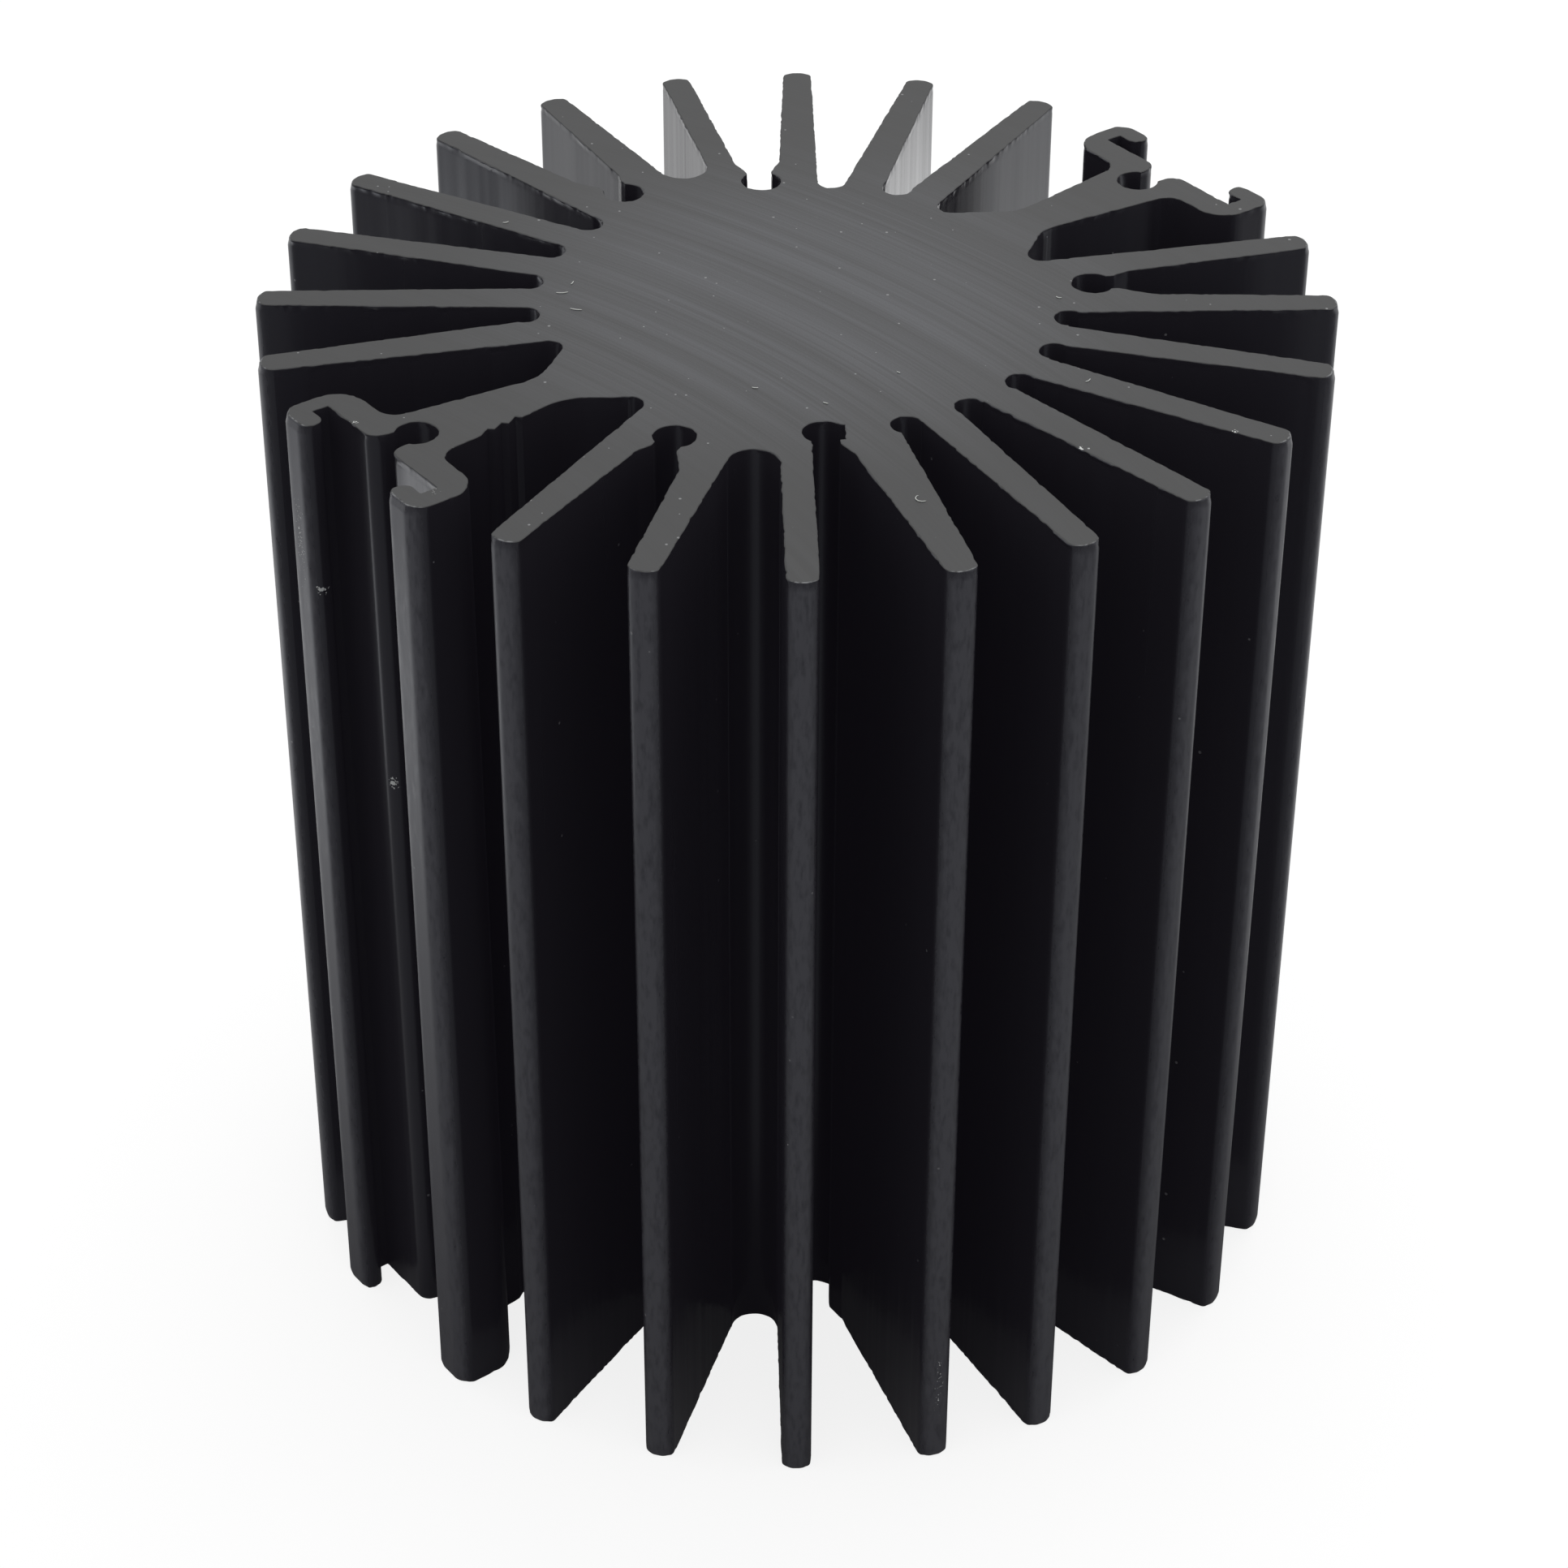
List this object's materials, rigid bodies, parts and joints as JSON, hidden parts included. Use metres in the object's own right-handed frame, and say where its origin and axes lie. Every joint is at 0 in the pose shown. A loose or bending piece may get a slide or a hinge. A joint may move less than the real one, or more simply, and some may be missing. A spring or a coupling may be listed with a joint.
{
  "type": "extruded heat sink",
  "caption": "Round extruded aluminium heat sink with tapered radial fins, open screw channels in the fin roots and thick arms that end in sliding channels; cools a part screwed to its end.",
  "frame": {"origin": "centre of the bottom sawn end, on the axis of the bar", "axes": "+Z along the extrusion; the fins' even places are every 15 degrees from -Y, and the two arms are at 37.3 and 217.3 degrees from +X towards +Y"},
  "size_m": [0.0704, 0.0704, 0.0704],
  "materials": {
    "anodised": "black anodised with fine die lines along the fins; the sawn ends are a matt mid grey"
  },
  "bodies": {
    "root": {"heat_sink": "anodised"}
  },
  "joints": []
}
